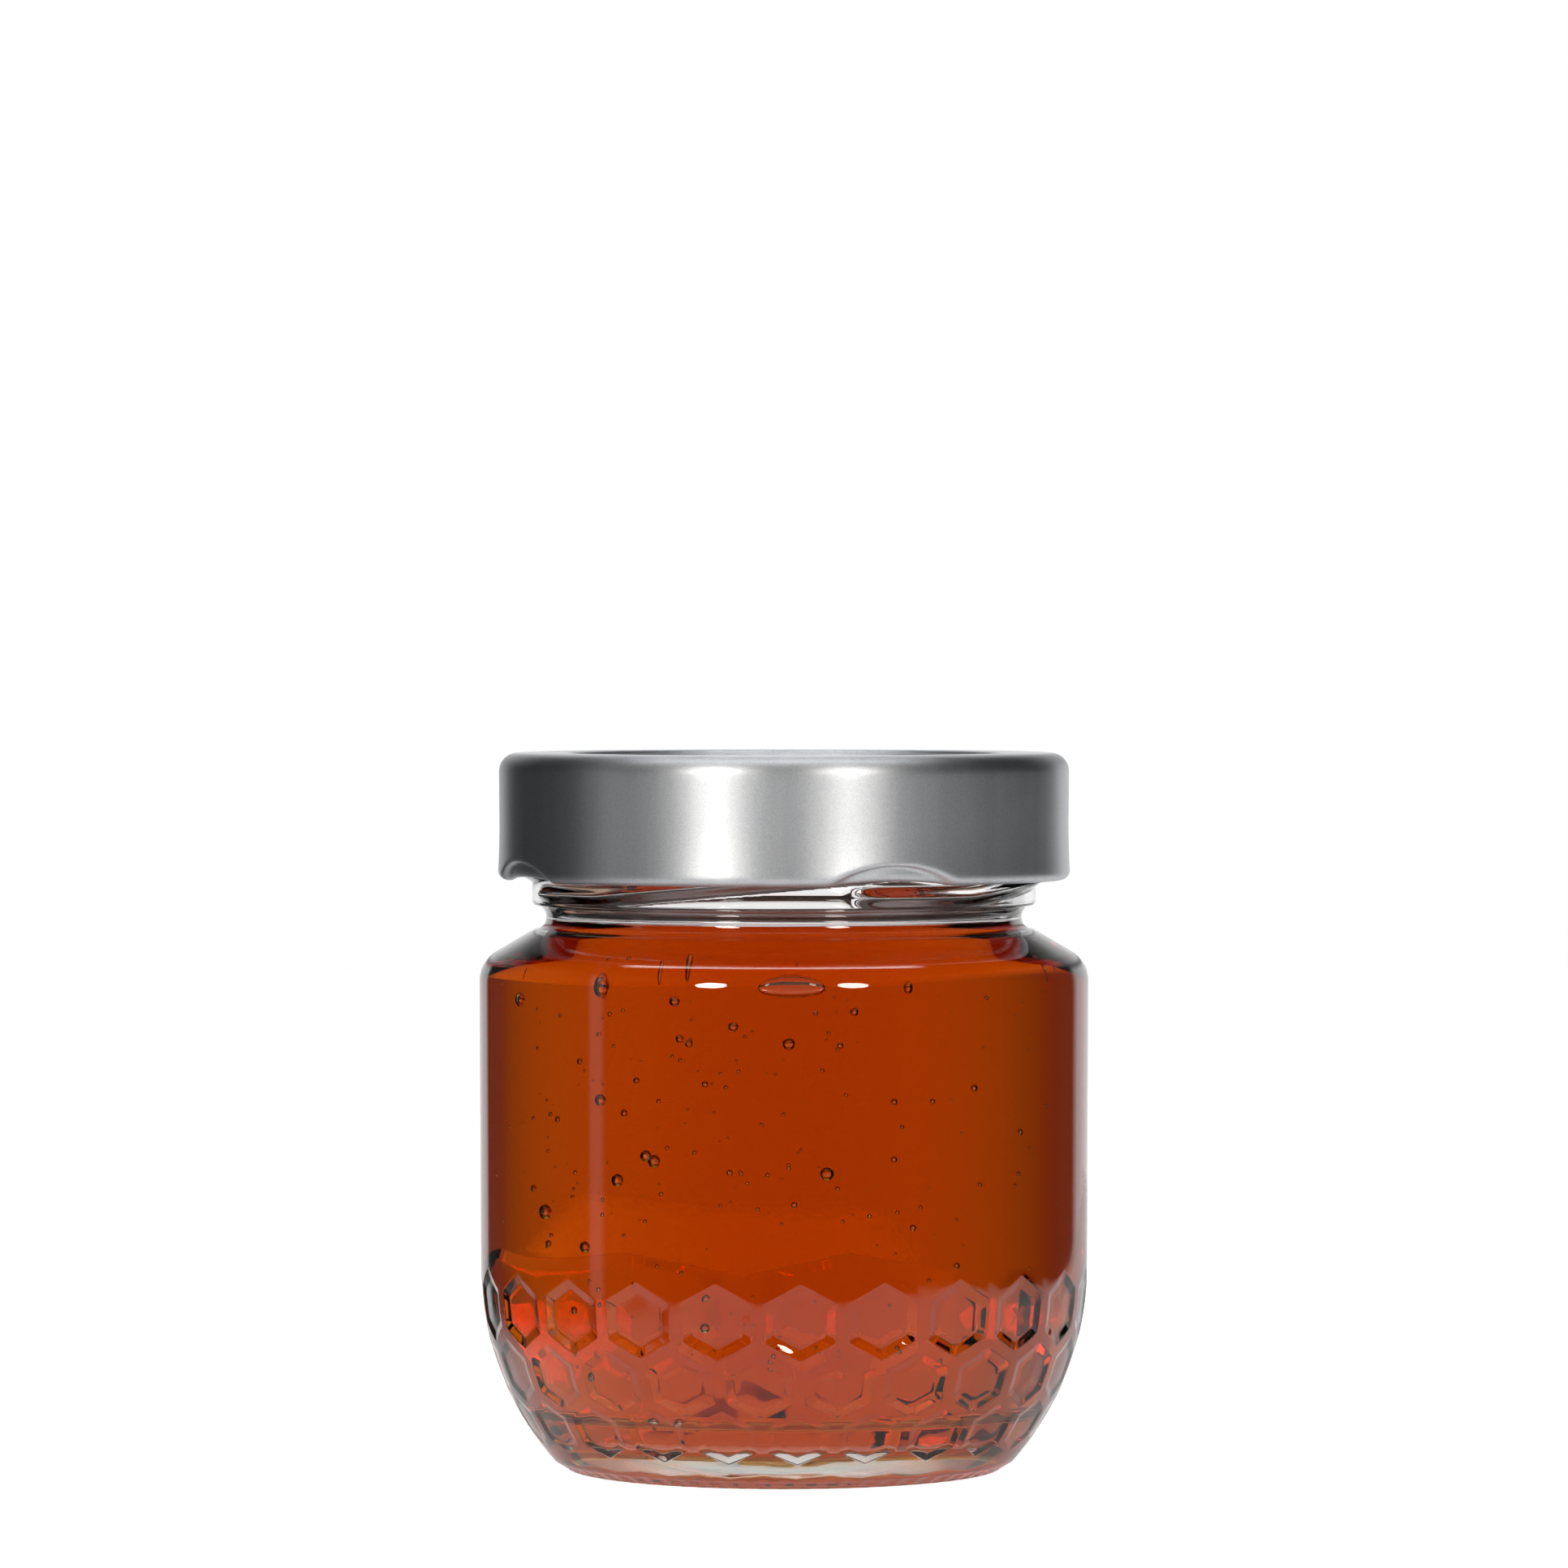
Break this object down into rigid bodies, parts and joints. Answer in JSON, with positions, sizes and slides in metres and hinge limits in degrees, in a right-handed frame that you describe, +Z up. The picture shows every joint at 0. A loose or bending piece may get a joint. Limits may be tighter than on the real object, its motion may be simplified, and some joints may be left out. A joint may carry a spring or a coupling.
{
  "type": "honey jar",
  "caption": "Squat clear glass jar of amber honey with a pressed honeycomb foot, closed by a brushed metal lug lid.",
  "frame": {"origin": "centre of the ring that the jar stands on", "axes": "+Z up along the jar's axis; -Y is the front, where the top row of cells has a cell just right of the middle"},
  "size_m": [0.0742, 0.0742, 0.087],
  "materials": {
    "glass": "clear moulded",
    "honey": "clear thick syrup",
    "lid": "brushed"
  },
  "bodies": {
    "root": {"jar": "glass", "honey": "honey", "lid": "lid"}
  },
  "joints": []
}
